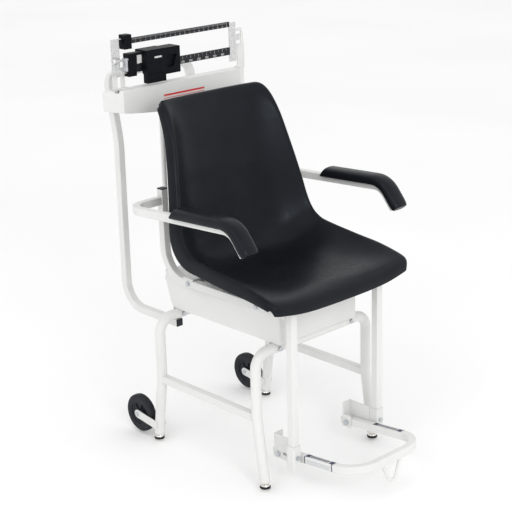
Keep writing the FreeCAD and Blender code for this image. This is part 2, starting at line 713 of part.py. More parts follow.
# ---------------------------------------------------------------------------
# weigh beam and poises
# ---------------------------------------------------------------------------
def build_beam():
    y0 = BEAM_Y - PLATE_T / 2
    y1 = BEAM_Y + PLATE_T / 2
    upright = block(PLATE_L0, PLATE_L1, y0, y1, LOWER_Z0, PLATE_TOP)
    arm = block(PLATE_L0, PLATE_ARM, y0, y1, LOWER_Z0, LOWER_Z1 - 2)
    keep("beam_plate_left", fuse([upright, arm]))
    main = block(PLATE_R0, PLATE_R1, y0, y1, PLATE_R_Z, PLATE_TOP - 5)
    pointer = block(PLATE_R1 - 1, POINTER_X, y0, y1, POINTER_Z - POINTER_H / 2, POINTER_Z + POINTER_H / 2)
    keep("beam_plate_right", fuse([main, pointer]))
    front = BEAM_Y - BAR_T / 2
    rear = BEAM_Y + BAR_T / 2
    keep("upper_bar", block(PLATE_L1, PLATE_R0, front, rear, UPPER_Z0, UPPER_Z1))
    keep("lower_bar", block(PLATE_ARM, PLATE_R0, front, rear, LOWER_Z0, LOWER_Z1))

    fulcrum = [V(FULCRUM_X - 3, y1, FULCRUM_Z + 7), V(FULCRUM_X + 3, y1, FULCRUM_Z + 7),
               V(FULCRUM_X, y1, FULCRUM_Z)]
    load = [V(LOAD_X - 3, y1, LOAD_Z - 6), V(LOAD_X + 3, y1, LOAD_Z - 6), V(LOAD_X, y1, LOAD_Z)]
    keep("beam_pivots", polygon_solid(fulcrum, V(0, 10, 0)), polygon_solid(load, V(0, 6.5, 0)))

    screw_y = BEAM_Y - KNOB_AHEAD
    lug = block(SCREW_END_X - 10, SCREW_END_X - 4, screw_y - 4, y0, LOWER_Z0 + 8, KNOB_Z + 4)
    screw = pin(V(KNOB_X0 + 3, screw_y, KNOB_Z), V(SCREW_END_X, screw_y, KNOB_Z), SCREW_R)
    keep("balance_screw", fuse([lug, screw]))
    bore = SCREW_R + CLEAR
    outline = [V(KNOB_X0, bore, 0), V(KNOB_X0, KNOB_R - 1.6, 0), V(KNOB_X0 + 1.5, KNOB_R, 0),
               V(KNOB_X1 - 9, KNOB_R, 0), V(KNOB_X1, 4.5, 0), V(KNOB_X1, bore, 0)]
    keep("balance_knob", turned(outline, V(1, 0, 0)).translated(V(0, screw_y, KNOB_Z)))


def build_poises():
    front = BEAM_Y - BAR_T / 2 - BAR_GAP
    rear = BEAM_Y + BAR_T / 2 + BAR_GAP
    bar_slot = block(-260, 80, front, rear, BIG_BOTTOM - 5, LOWER_Z1 + BAR_GAP)
    rear_cut = block(-260, 80, front, BIG_BACK + 5, BIG_BOTTOM - 5, LOWER_Z0 + 2)
    body = block(BIG_X0, BIG_X1, BIG_FRONT, BIG_BACK, BIG_FOOT_Z, BIG_TOP)
    body = body.makeFillet(2.0, [e for e in body.Edges if e.BoundBox.XMin < BIG_X1 - 1])
    weight = block(BIG_X0 + 3, BIG_X1 - 2, BIG_FRONT + 3, front, BIG_BOTTOM, BIG_FOOT_Z + 6)
    keep("big_poise", fuse([body, weight]).cut([bar_slot, rear_cut]))
    grip = block(BIG_X1, GRIP_X1, BIG_FRONT + 4, BIG_BACK - 4, GRIP_Z0, GRIP_TOP)
    grip = grip.makeFillet(5.0, [e for e in grip.Edges if e.BoundBox.XMin > GRIP_X1 - 0.1])
    recess = [V(BIG_X1 + 3, BIG_FRONT, SCOOP_TOP), V(GRIP_X1 - 13, BIG_FRONT, SCOOP_TOP),
              V(GRIP_X1 - 24, BIG_FRONT, SCOOP_FOOT), V(BIG_X1 + 3, BIG_FRONT, SCOOP_FOOT)]
    scoop = polygon_solid(recess, V(0, 11, 0))
    keep("poise_grip", grip.cut([bar_slot, rear_cut, scoop]))
    tail = block(TAIL_X0, TAIL_X1, BEAM_Y - TAIL_HALF, BEAM_Y + TAIL_HALF, BIG_FOOT_Z, TAIL_TOP)
    channel = block(TAIL_X0 - 1, TAIL_X1 + 1, front, rear, LOWER_Z0 - BAR_GAP, LOWER_Z1 + BAR_GAP)
    neck = block(TAIL_X1 - 1, BIG_X0, BEAM_Y - TAIL_HALF + 2, BEAM_Y + TAIL_HALF - 2, NECK_Z, TAIL_TOP)
    keep("poise_latch", fuse([tail, neck]).cut(channel))

    small = block(SMALL_X0, SMALL_X1, BEAM_Y - 11, BEAM_Y + 11, SMALL_Z0, SMALL_Z1)
    small = small.makeFillet(1.5, small.Edges)
    slot = block(-260, 80, front, rear, UPPER_Z0 - BAR_GAP, UPPER_Z1 + BAR_GAP)
    slit_end = SMALL_X1 - 8
    slits = [block(-260, slit_end, front, BEAM_Y + 20, z, z + 2.6)
             for z in (UPPER_Z0 - BAR_GAP, UPPER_Z1 - 2.0)]
    keep("small_poise", small.cut([slot] + slits))


# ---------------------------------------------------------------------------
# seat frame
# ---------------------------------------------------------------------------
def build_seat_frame():
    route = [V(-SEAT_X, SEAT_FRONT + SQ / 2, SEAT_Z), V(-SEAT_X, SEAT_UP_Y, SEAT_Z),
             V(-SEAT_X, STUB_TOP_Y, STUB_TOP)]
    outer = SEAT_X + SQ / 2
    inner = SEAT_X - SQ / 2
    bolts = [bolt(V(-outer, y, SEAT_Z), V(1, 0, 0), 3.0, SQ + FLANGE_T, 6.0, 4.0)
             for y in (REAR_LOAD_Y, FRONT_LOAD_Y)]
    arm_pin = bolt(V(-inner, ARM_PIVOT_Y, ARM_PIVOT_Z), V(-1, 0, 0), ARM_PIN_R,
                   SQ + ARM_GAP + ARM_PLUG - 2, 7.0, 4.0)
    tube = carry(square_section(), route, [SEAT_BEND_R], V(0, 0, 1))
    both_sides("seat_tube", tube.cut(bolts + [arm_pin]))
    keep("seat_bolts", *bolts, *[mirror_x(b) for b in bolts])
    keep("arm_pins", arm_pin, mirror_x(arm_pin))

    ends = [V(-SEAT_X, SEAT_FRONT, SLEEVE_Z0 + 3), V(-SEAT_X, SEAT_FRONT, SEAT_Z + SQ / 2)]
    lock = bolt(V(-SEAT_X, SEAT_FRONT - SLEEVE_W / 2, 87.0), V(0, 1, 0), 3.0,
                SLEEVE_WALL + SQ_WALL + 0.6, 6.0, 4.0)
    both_sides("hanger", carry(square_section(), ends, [], V(0, 1, 0)).cut(lock))
    ends = [V(-SEAT_X, SEAT_FRONT, SLEEVE_Z0), V(-SEAT_X, SEAT_FRONT, SLEEVE_Z1)]
    sleeve = carry(square_section(SLEEVE_W, SLEEVE_WALL, 3.0), ends, [], V(0, 1, 0)).cut(lock)
    keep("footrest_sleeves", sleeve, mirror_x(sleeve))
    keep("footrest_bolts", lock, mirror_x(lock))

    hole = SQ - 2 * SQ_WALL - 2 * CLEAR
    cap_at = V(-SEAT_X, STUB_TOP_Y, STUB_TOP)
    lean = unit(cap_at - V(-SEAT_X, SEAT_UP_Y, SEAT_Z))
    lid = carry(Part.Face(round_rect(SQ, SQ, SQ_CORNER)), [cap_at, cap_at + lean * 2.5], [], V(0, 1, 0))
    plug = carry(Part.Face(round_rect(hole, hole, 0.6)), [cap_at - lean * 10, cap_at], [], V(0, 1, 0))
    cap = fuse([lid, plug])
    keep("seat_tube_caps", cap, mirror_x(cap))

    top = SEAT_Z + SQ / 2
    shell = pieces["seat_shell"][0]
    for y in (FRONT_LOAD_Y, REAR_LOAD_Y):
        rail = [block(-outer, outer, y - RAIL_W / 2, y + RAIL_W / 2, top, top + RAIL_T)]
        for s in (-1, 1):
            flange_x = s * (inner - FLANGE_T)
            rail.append(block(flange_x, s * inner, y - RAIL_W / 2, y + RAIL_W / 2, SEAT_Z - 8, top + RAIL_T))
            rail.append(block(s * SHELL_POST_X - 12, s * SHELL_POST_X + 12, y - 12, y + 12, top, top + 45))
        rail = fuse(rail).cut(bolts + [mirror_x(b) for b in bolts] + [shell])
        keep("seat_cross_rails", min(rail.Solids, key=lambda s: s.BoundBox.ZMin))
    for x in (-PIVOT_X, PIVOT_X):
        for y in (FRONT_LOAD_Y, REAR_LOAD_Y):
            toe_z = LEVER_Z + LEVER_H / 2 + 3.0 + KNIFE_GAP
            toe = Part.makeCylinder(4.5, 5.0, V(x, y, toe_z))
            post = Part.makeCylinder(7.0, top - toe_z - 5.0, V(x, y, toe_z + 5.0))
            keep("load_posts", fuse([post, toe]))


def shell_ring(i):
    """Section of the shell at one station: half points, mirrored to a closed ring."""
    (y, z), (half, rim_y, rim_z), flank = SHELL_STATIONS[i]
    before = SHELL_STATIONS[max(i - 1, 0)][0]
    after = SHELL_STATIONS[min(i + 1, len(SHELL_STATIONS) - 1)][0]
    run = unit(V(0, after[0] - before[0], after[1] - before[1]))
    down = V(0, run.z, -run.y)
    lift = V(0, rim_y - y, rim_z - z)
    # floor, side and crest above, then the turned-down flank, and back underneath
    outer = [(0.48 * half, lift * 0.09), (0.76 * half, lift * 0.44),
             (half - 12, lift * 0.92), (half - 2, lift),
             (half + 4.5, lift + down * (0.5 * flank)), (half + 6, lift + down * flank)]
    inner = [(half + 0.5, lift + down * flank), (half - 1, lift + down * (0.7 * flank)),
             (half - 9, lift + down * (SHELL_T + 1)), (half - 18, lift * 0.92 + down * SHELL_T),
             (0.76 * half - 3, lift * 0.44 + down * SHELL_T), (0.48 * half - 1, lift * 0.09 + down * SHELL_T)]
    right = [V(x, y + v.y, z + v.z) for x, v in outer + inner]
    return right + [V(-p.x, p.y, p.z) for p in reversed(right)]


def build_shell():
    """Moulded seat shell: a bent sheet with raised sides and turned-down flanks, in plain facets."""
    rings = [shell_ring(i) for i in range(len(SHELL_STATIONS))]
    count = len(rings[0])
    faces = []
    for a, b in zip(rings, rings[1:]):
        for k in range(count):
            n = (k + 1) % count
            faces.append(facet(a[k], a[n], b[n]))
            faces.append(facet(a[k], b[n], b[k]))
    # each end is closed between the outer points and the inner points that back them
    for ring in (rings[0], rings[-1]):
        half = count // 2
        for side in (ring[:half], ring[half:]):
            for k in range(half // 2 - 1):
                m = half - 1 - k
                faces.append(facet(side[k], side[k + 1], side[m]))
                faces.append(facet(side[k + 1], side[m - 1], side[m]))
        faces.append(facet(ring[0], ring[half - 1], ring[half]))
        faces.append(facet(ring[0], ring[half], ring[count - 1]))
    shell = Part.makeShell(faces)
    shell.sewShape()
    return outward(Part.Solid(shell))


# ---------------------------------------------------------------------------
# foot-rest
# ---------------------------------------------------------------------------
def build_footrest():
    tilt = math.radians(FOOT_TILT)
    fore = V(0, -math.cos(tilt), math.sin(tilt))
    up = V(0, math.sin(tilt), math.cos(tilt))
    pivot = V(-FOOT_X, FOOT_PIVOT_Y, FOOT_PIVOT_Z)
    tail = pivot - fore * FOOT_TAIL
    corner = pivot + fore * FOOT_REACH
    route = [tail, corner, V(FOOT_X, corner.y, corner.z), V(FOOT_X, tail.y, tail.z)]
    tube = carry(square_section(), route, [FOOT_R, FOOT_R], up)
    bore = pin(V(-FOOT_X - 20, FOOT_PIVOT_Y, FOOT_PIVOT_Z), V(FOOT_X + 20, FOOT_PIVOT_Y, FOOT_PIVOT_Z),
               FOOT_BOLT_R + CLEAR)
    keep("footrest_tube", tube.cut(bore))

    low = corner - up * (SQ / 2)
    drop = low - up * TOE_DROP
    loop = [V(-TOE_HALF, low.y, low.z), V(-TOE_HALF * 0.32, drop.y, drop.z),
            V(TOE_HALF * 0.32, drop.y, drop.z),
            V(TOE_HALF, low.y, low.z)]
    wire = carry(round_section(TOE_R), loop, [11.0, 11.0], V(0, 1, 0))
    above = block(-80, 80, corner.y - 30, corner.y + 30, low.z, low.z + 30)
    above.rotate(V(0, low.y, low.z), V(1, 0, 0), -FOOT_TILT)
    keep("toe_loop", wire.cut(above))

    inner = FOOT_X - SQ / 2
    outer = FOOT_X + SQ / 2
    plate_x = SEAT_X - SLEEVE_W / 2
    wall_y = FOOT_WALL_Y
    plate = block(-plate_x, -plate_x + FOOT_T, wall_y, SEAT_FRONT + SLEEVE_W / 2,
                  FOOT_BRACKET_Z0, FOOT_BRACKET_TOP)
    wall = block(-plate_x, -inner + 3.2, wall_y, wall_y + FOOT_T, FOOT_BRACKET_Z0, FOOT_BRACKET_TOP)
    lug = block(-inner + 0.7, -inner + 3.2, wall_y + FOOT_T, wall_y - 24,
                FOOT_BRACKET_Z0 - 2, FOOT_BRACKET_Z0 + 30)
    notch = block(-outer - 0.6, -inner + 0.6, wall_y - 1, wall_y + 4, FOOT_BRACKET_Z0 - 5,
                  FOOT_PIVOT_Z + SQ / 2 + 1.5)
    slot = block(-plate_x - 5, -outer - 0.1, FOOT_PIVOT_Y - 31, FOOT_PIVOT_Y - 17, 71, 78)
    hole = pin(V(-plate_x - 5, FOOT_PIVOT_Y, FOOT_PIVOT_Z), V(-inner + 10, FOOT_PIVOT_Y, FOOT_PIVOT_Z),
               FOOT_BOLT_R)
    bracket = fuse([plate, wall, lug]).cut([notch, slot, hole])
    keep("footrest_brackets", bracket, mirror_x(bracket))

    head = bolt(V(-plate_x, FOOT_PIVOT_Y, FOOT_PIVOT_Z), V(1, 0, 0), FOOT_BOLT_R,
                plate_x - inner + 3.2, 7.5, 4.0)
    nut = bolt(V(-inner + 3.2, FOOT_PIVOT_Y, FOOT_PIVOT_Z), V(-1, 0, 0), 2.0, 0.5, 7.5, 5.0)
    hinge = fuse([head, nut])
    keep("footrest_bolts", hinge, mirror_x(hinge))


# ---------------------------------------------------------------------------
# arms
# ---------------------------------------------------------------------------
def build_arms():
    rise = math.radians(ARM_RISE)
    turn = math.radians(ARM_TURN) - rise
    fore = V(0, -math.cos(rise), math.sin(rise))
    up = V(0, math.sin(rise), math.cos(rise))
    start = V(-SEAT_X - SQ / 2 - ARM_GAP, ARM_PIVOT_Y, ARM_PIVOT_Z)
    corner = V(-ARM_X, ARM_PIVOT_Y, ARM_PIVOT_Z)
    bend = corner + fore * ((ARM_PIVOT_Y - ARM_BEND_Y) / math.cos(rise))
    down = V(0, -math.cos(turn), -math.sin(turn))
    tip = bend + down * ARM_TIP
    route = [start, corner, bend, tip]
    radii = [ARM_BACK_R, ARM_FRONT_R]
    # the section leans with the tube, so its sides stay square to the rise
    hollow = carry(square_section(), route, radii, up)
    solid = carry(square_section(SQ, 0), route, radii, up)
    hole = SQ - 2 * SQ_WALL
    plug = carry(Part.Face(round_rect(hole, hole, 0.6)), [start, start - V(ARM_PLUG, 0, 0)], [], up)
    bore = pin(start + V(5, 0, 0), start - V(ARM_PLUG + 5, 0, 0), ARM_PIN_R + CLEAR)
    both_sides("arm_tube", fuse([hollow, plug]).cut(bore))

    back = bend - fore * ((PAD_BACK_Y - ARM_BEND_Y) / math.cos(rise))
    height = PAD_TOP - PAD_UNDER
    section = Part.Face(round_rect(PAD_W, height, PAD_CORNER)).translated(V(0, (PAD_TOP + PAD_UNDER) / 2, 0))
    pad = carry(section, [back, bend, tip + down * PAD_LIP], [ARM_FRONT_R], up)
    wedge = [V(-ARM_X - 40, back.y + 1, back.z), V(-ARM_X - 40, back.y + 1, back.z + 60),
             V(-ARM_X - 40, back.y - PAD_SLANT, back.z + PAD_TOP + 6)]
    slant = polygon_solid(wedge, V(80, 0, 0))
    both_sides("arm_pad", max(pad.cut([solid, slant]).Solids, key=lambda s: s.Volume))


# ---------------------------------------------------------------------------
# write the pieces
# ---------------------------------------------------------------------------
def write_pieces():
    everything = Part.makeCompound([s for group in pieces.values() for s in group])
    box = everything.optimalBoundingBox(False, False)
    shift = V(-(box.XMin + box.XMax) / 2, -(box.YMin + box.YMax) / 2, -box.ZMin)
    os.makedirs("parts", exist_ok=True)
    for node, group in pieces.items():
        shape = group[0] if len(group) == 1 else Part.makeCompound(group)
        shape.translated(shift).exportStep("parts/" + node + ".step")
    print(len(pieces), "pieces, moved by", shift, "size", box.XLength, box.YLength, box.ZLength)


build_legs()
build_box()
build_column()
build_shelf()
build_stands()
build_wheels()
build_levers()
build_beam()
build_poises()
keep("seat_shell", build_shell())
build_seat_frame()
build_footrest()
build_arms()
write_pieces()
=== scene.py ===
import bpy
import bmesh
import json
import math
from mathutils import Vector, Matrix


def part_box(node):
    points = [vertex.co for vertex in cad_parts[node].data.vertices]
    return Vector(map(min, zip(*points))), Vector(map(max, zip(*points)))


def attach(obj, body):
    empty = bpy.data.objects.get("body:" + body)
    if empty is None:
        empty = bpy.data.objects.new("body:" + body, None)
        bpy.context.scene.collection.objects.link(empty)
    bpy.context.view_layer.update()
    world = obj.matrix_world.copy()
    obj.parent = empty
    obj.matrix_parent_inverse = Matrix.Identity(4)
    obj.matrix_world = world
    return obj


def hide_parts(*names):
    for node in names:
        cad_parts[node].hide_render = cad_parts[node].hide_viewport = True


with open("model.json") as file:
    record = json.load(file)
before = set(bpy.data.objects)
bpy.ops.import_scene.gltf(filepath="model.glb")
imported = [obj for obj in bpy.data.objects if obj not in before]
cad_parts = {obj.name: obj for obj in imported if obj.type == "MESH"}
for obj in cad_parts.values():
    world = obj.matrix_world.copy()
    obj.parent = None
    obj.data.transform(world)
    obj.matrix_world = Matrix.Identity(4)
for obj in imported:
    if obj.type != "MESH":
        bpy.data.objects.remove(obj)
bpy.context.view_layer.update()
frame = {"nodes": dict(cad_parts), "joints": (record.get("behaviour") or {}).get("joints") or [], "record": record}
nodes = frame["nodes"]
MM = 0.001
PIVOT = {j["name"]: Vector(j["pos_m"]) for j in frame["joints"] if "pos_m" in j}

# ---------------------------------------------------------------------------
# materials: one Principled shader each, with colour, roughness and relief from
# nodes; what is the same all over is set on the shader's own sockets
# ---------------------------------------------------------------------------
class Finish:
    """One material. noise() and cells() give patterns; colour(), rough() and relief() use them."""

    def __init__(self, name, roughness, metallic=0.0, specular=0.5, coat=0.0, coat_roughness=0.1):
        self.material = bpy.data.materials.new(name)
        self.material.use_nodes = True
        self.tree = self.material.node_tree
        self.shader = self.tree.nodes["Principled BSDF"]
        self.coords = self.tree.nodes.new("ShaderNodeTexCoord").outputs["Object"]
        self.normal = None
        self.set("Roughness", roughness)
        self.set("Metallic", metallic)
        self.set("Specular IOR Level", specular)
        self.set("Coat Weight", coat)
        self.set("Coat Roughness", coat_roughness)

    def set(self, socket, value):
        self.shader.inputs[socket].default_value = value

    def link(self, output, socket):
        self.tree.links.new(output, socket)

    def stretched(self, stretch):
        node = self.tree.nodes.new("ShaderNodeMapping")
        node.inputs["Scale"].default_value = stretch
        self.link(self.coords, node.inputs["Vector"])
        return node.outputs["Vector"]

    def noise(self, scale, detail=3.0, stretch=(1, 1, 1), harsh=0.5):
        node = self.tree.nodes.new("ShaderNodeTexNoise")
        node.inputs["Scale"].default_value = scale
        node.inputs["Detail"].default_value = detail
        node.inputs["Roughness"].default_value = harsh
        self.link(self.stretched(stretch), node.inputs["Vector"])
        return node.outputs["Fac"]

    def cells(self, scale, feature="F1", output="Distance", stretch=(1, 1, 1)):
        node = self.tree.nodes.new("ShaderNodeTexVoronoi")
        node.feature = feature
        node.inputs["Scale"].default_value = scale
        self.link(self.stretched(stretch), node.inputs["Vector"])
        return node.outputs[output]

    def ramp(self, factor, *stops):
        node = self.tree.nodes.new("ShaderNodeValToRGB")
        ramp = node.color_ramp
        while len(ramp.elements) < len(stops):
            ramp.elements.new(0.5)
        for element, (place, colour) in zip(ramp.elements, stops):
            element.position = place
            element.color = (*colour, 1.0)
        self.link(factor, node.inputs["Fac"])
        return node.outputs["Color"]

    def colour(self, factor, *stops):
        self.link(self.ramp(factor, *stops), self.shader.inputs["Base Color"])

    def rough(self, factor, low, high):
        node = self.tree.nodes.new("ShaderNodeMapRange")
        node.inputs["From Min"].default_value = 0.3
        node.inputs["From Max"].default_value = 0.7
        node.inputs["To Min"].default_value = low
        node.inputs["To Max"].default_value = high
        self.link(factor, node.inputs["Value"])
        self.link(node.outputs["Result"], self.shader.inputs["Roughness"])

    def soft_edges(self, radius):
        node = self.tree.nodes.new("ShaderNodeBevel")
        node.samples = 4
        node.inputs["Radius"].default_value = radius
        self.take_normal(node.outputs["Normal"])

    def relief(self, height, strength, distance):
        node = self.tree.nodes.new("ShaderNodeBump")
        node.inputs["Strength"].default_value = strength
        node.inputs["Distance"].default_value = distance
        self.link(height, node.inputs["Height"])
        if self.normal is not None:
            self.link(self.normal, node.inputs["Normal"])
        self.take_normal(node.outputs["Normal"])

    def take_normal(self, output):
        self.normal = output
        self.link(output, self.shader.inputs["Normal"])


def grey(value):
    return (value, value, value)


def cool(value):
    """A black with a faint blue cast."""
    return (value, value * 1.08, value * 1.45)


def white_powder_coat():
    f = Finish("white_powder_coat", 0.4, specular=0.45, coat=0.12, coat_roughness=0.25)
    f.colour(f.noise(9, 4), (0.3, (0.70, 0.70, 0.685)), (0.7, (0.745, 0.747, 0.735)))
    f.rough(f.noise(60, 3), 0.34, 0.46)
    f.soft_edges(0.7 * MM)
    f.relief(f.noise(420, 2), 0.16, 0.25 * MM)
    f.relief(f.noise(1700, 2), 0.10, 0.08 * MM)
    return f.material


def zinc_steel():
    f = Finish("zinc_steel", 0.35, metallic=1.0)
    f.colour(f.noise(160, 3), (0.3, (0.46, 0.48, 0.50)), (0.7, (0.66, 0.68, 0.70)))
    f.rough(f.noise(400, 3), 0.24, 0.42)
    f.soft_edges(0.35 * MM)
    f.relief(f.noise(1500, 2), 0.12, 0.05 * MM)
    return f.material


def bright_plate():
    f = Finish("bright_plate", 0.38, metallic=0.85, specular=0.5)
    f.colour(f.cells(620, output="Color"), (0.15, grey(0.50)), (0.5, grey(0.66)), (0.85, grey(0.80)))
    f.rough(f.noise(500, 2), 0.30, 0.48)
    f.soft_edges(0.3 * MM)
    f.relief(f.noise(900, 2), 0.18, 0.06 * MM)
    return f.material


def black_enamel(name, dark, light, low, high, grain, depth, specular):
    f = Finish(name, 0.4, specular=specular)
    f.colour(f.noise(140, 4), (0.3, cool(dark)), (0.7, cool(light)))
    f.rough(f.noise(220, 3), low, high)
    f.soft_edges(0.45 * MM)
    f.relief(f.noise(grain, 3), 0.22, depth)
    return f.material


def plated(name, tone, low, high):
    f = Finish(name, 0.15, metallic=1.0)
    f.colour(f.noise(120, 2), (0.3, tuple(0.9 * t for t in tone)), (0.7, tone))
    f.rough(f.noise(350, 2), low, high)
    f.soft_edges(0.3 * MM)
    f.relief(f.noise(700, 2), 0.05, 0.05 * MM)
    return f.material


def ground_steel():
    f = Finish("ground_steel", 0.3, metallic=1.0)
    f.colour(f.noise(900, 3, (1, 0.08, 1)), (0.3, grey(0.42)), (0.7, grey(0.62)))
    f.rough(f.noise(700, 2, (1, 0.08, 1)), 0.22, 0.4)
    f.relief(f.noise(1600, 2, (1, 0.06, 1)), 0.2, 0.04 * MM)
    return f.material


def painted_casting():
    f = Finish("painted_casting", 0.5, specular=0.4)
    f.colour(f.noise(40, 5), (0.3, (0.20, 0.21, 0.22)), (0.7, (0.28, 0.29, 0.30)))
    f.rough(f.noise(90, 4), 0.45, 0.65)
    f.relief(f.noise(260, 5, harsh=0.65), 0.5, 0.5 * MM)
    return f.material


def moulded_black(name, dark, light, low, high, cell, strength, depth, specular=0.3):
    """Black moulding with a pebbled leather grain: rounded cells and fine pores."""
    f = Finish(name, 0.4, specular=specular)
    f.set("Specular Tint", (0.80, 0.90, 1.0, 1))
    f.colour(f.noise(14, 4), (0.3, cool(dark)), (0.7, cool(light)))
    f.rough(f.noise(70, 3), low, high)
    f.relief(f.cells(cell, feature="SMOOTH_F1"), strength, depth)
    f.relief(f.noise(cell * 3, 2), strength * 0.4, depth * 0.3)
    return f.material


def rubber():
    f = Finish("black_rubber", 0.6, specular=0.3)
    f.colour(f.noise(80, 4), (0.3, cool(0.008)), (0.7, cool(0.016)))
    f.rough(f.noise(160, 3), 0.5, 0.72)
    f.relief(f.noise(600, 4), 0.3, 0.15 * MM)
    return f.material


def ink(name, tone, roughness=0.45):
    f = Finish(name, roughness, specular=0.35)
    f.colour(f.noise(260, 3), (0.25, tuple(0.88 * t for t in tone)), (0.75, tone))
    f.rough(f.noise(300, 2), roughness - 0.06, roughness + 0.06)
    return f.material


WHITE = white_powder_coat()
ZINC = zinc_steel()
PLATE = bright_plate()
BEAM = black_enamel("black_beam", 0.008, 0.015, 0.34, 0.48, 500, 0.08 * MM, 0.3)
POISE = black_enamel("black_poise", 0.004, 0.008, 0.34, 0.46, 900, 0.06 * MM, 0.06)
HARD = ground_steel()
CAST = painted_casting()
CHROME = plated("chrome_trim", (0.82, 0.80, 0.77), 0.08, 0.2)
KNOB = plated("knob_plating", (0.74, 0.74, 0.74), 0.22, 0.38)
RUBBER = rubber()
PLASTIC = moulded_black("black_plastic", 0.008, 0.014, 0.36, 0.5, 900, 0.15, 0.08 * MM)
SEAT = moulded_black("black_seat", 0.0055, 0.0090, 0.30, 0.40, 620, 0.30, 0.20 * MM, 0.16)
PAD = moulded_black("black_pad", 0.006, 0.010, 0.28, 0.38, 780, 0.24, 0.13 * MM, 0.18)
INK_WHITE = ink("white_ink", (0.72, 0.72, 0.70))
INK_NAVY = ink("navy_ink", (0.030, 0.035, 0.075))
INK_GREY = ink("grey_ink", (0.36, 0.37, 0.42))
INK_RED = ink("red_ink", (0.70, 0.035, 0.03))
PAPER = ink("label_paper", (0.80, 0.80, 0.79), 0.38)

FINISHES = {"white_powder_coat": WHITE, "zinc_steel": ZINC, "bright_plate": PLATE, "black_beam": BEAM,
            "black_poise": POISE, "hard_steel": HARD, "cast_lever": CAST, "chrome_trim": CHROME,
            "black_rubber": RUBBER, "black_plastic": PLASTIC, "black_seat": SEAT, "black_pad": PAD}


def dress_nodes():
    """Give every CAD node the finish of its material slot."""
    for part in frame["record"]["subparts"]:
        data = nodes[part["node"]].data
        data.materials.clear()
        data.materials.append(FINISHES[part["material_slot"]])


# ---------------------------------------------------------------------------
# mesh helpers: a Shape gathers vertices and faces, and becomes one piece
# ---------------------------------------------------------------------------
class Shape:
    """Vertices and faces in metres; a face's mark picks its material."""

    def __init__(self):
        self.verts = []
        self.faces = []
        self.marks = []

    def add(self, verts, faces, mark=0):
        start = len(self.verts)
        self.verts += [Vector(v) for v in verts]
        self.faces += [tuple(start + i for i in face) for face in faces]
        self.marks += [mark] * len(faces)
        return self

    def rings(self, rings, closed=False, ends=True):
        """Quads between rings of equally many points; flat caps at both ends."""
        count = len(rings[0])
        faces = []
        spans = len(rings) if closed else len(rings) - 1
        for i in range(spans):
            a = i * count
            b = (i + 1) % len(rings) * count
            for k in range(count):
                n = (k + 1) % count
                faces.append((a + k, a + n, b + n, b + k))
        if ends and not closed:
            last = (len(rings) - 1) * count
            faces.append(tuple(reversed(range(count))))
            faces.append(tuple(last + k for k in range(count)))
        return self.add([p for ring in rings for p in ring], faces)

    def lathe(self, outline, centre, axis, steps):
        """Turn (radius, height) points once round the axis through centre."""
        axis = Vector(axis).normalized()
        side = axis.orthogonal().normalized()
        over = axis.cross(side)
        rings = []
        for s in range(steps):
            a = 2 * math.pi * s / steps
            out = side * math.cos(a) + over * math.sin(a)
            rings.append([Vector(centre) + out * r + axis * h for r, h in outline])
        return self.rings(rings, closed=True)

    def prism(self, outline, origin, side, up, depth):
        """Extrude a flat outline, drawn along side and up, by depth along side x up."""
        side = Vector(side).normalized()
        up = Vector(up).normalized()
        out = side.cross(up)
        low = [Vector(origin) + side * x + up * y for x, y in outline]
        return self.rings([low, [p + out * depth for p in low]])

    def strip_ends(self, count, last):
        """Close both ends of a tube of folded rings with quads from side to side."""
        for k in range(count // 2 - 1):
            self.faces.append((k, k + 1, count - 2 - k, count - 1 - k))
            self.faces.append((last + k + 1, last + k, last + count - 1 - k, last + count - 2 - k))
            self.marks += [0, 0]

    def piece(self, name, body, slot, materials, bevel=0.0, bevel_steps=3, smooth=True, subdivide=0):
        mesh = bpy.data.meshes.new(name)
        mesh.from_pydata([tuple(v) for v in self.verts], [], self.faces)
        for polygon, mark in zip(mesh.polygons, self.marks):
            polygon.material_index = mark
            polygon.use_smooth = smooth
        mesh.update()
        tidy_mesh(mesh)
        obj = bpy.data.objects.new(name, mesh)
        bpy.context.scene.collection.objects.link(obj)
        for material in materials if isinstance(materials, list) else [materials]:
            mesh.materials.append(material)
        if bevel:
            add_bevel(obj, bevel, bevel_steps)
        if subdivide:
            modifier = obj.modifiers.new("smooth", "SUBSURF")
            modifier.levels = subdivide
            modifier.render_levels = subdivide
        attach(obj, body)
        return obj


def tidy_mesh(mesh):
    work = bmesh.new()
    work.from_mesh(mesh)
    bmesh.ops.remove_doubles(work, verts=work.verts, dist=1e-6)
    bmesh.ops.recalc_face_normals(work, faces=work.faces)
    work.to_mesh(mesh)
    work.free()


def add_bevel(obj, width, steps):
    modifier = obj.modifiers.new("edges", "BEVEL")
    modifier.width = width
    modifier.segments = steps
    modifier.limit_method = "ANGLE"
    modifier.angle_limit = math.radians(40)
    modifier.harden_normals = True


def rounded(width, height, radius, steps=4):
    """Closed outline of a rounded rectangle about the origin."""
    points = []
    for cx, cy, first in ((1, 1, 0), (-1, 1, 90), (-1, -1, 180), (1, -1, 270)):
        for s in range(steps + 1):
            a = math.radians(first + 90 * s / steps)
            points.append((cx * (width / 2 - radius) + radius * math.cos(a),
                           cy * (height / 2 - radius) + radius * math.sin(a)))
    return points


def circle(radius, steps):
    return [(radius * math.cos(2 * math.pi * s / steps), radius * math.sin(2 * math.pi * s / steps))
            for s in range(steps)]


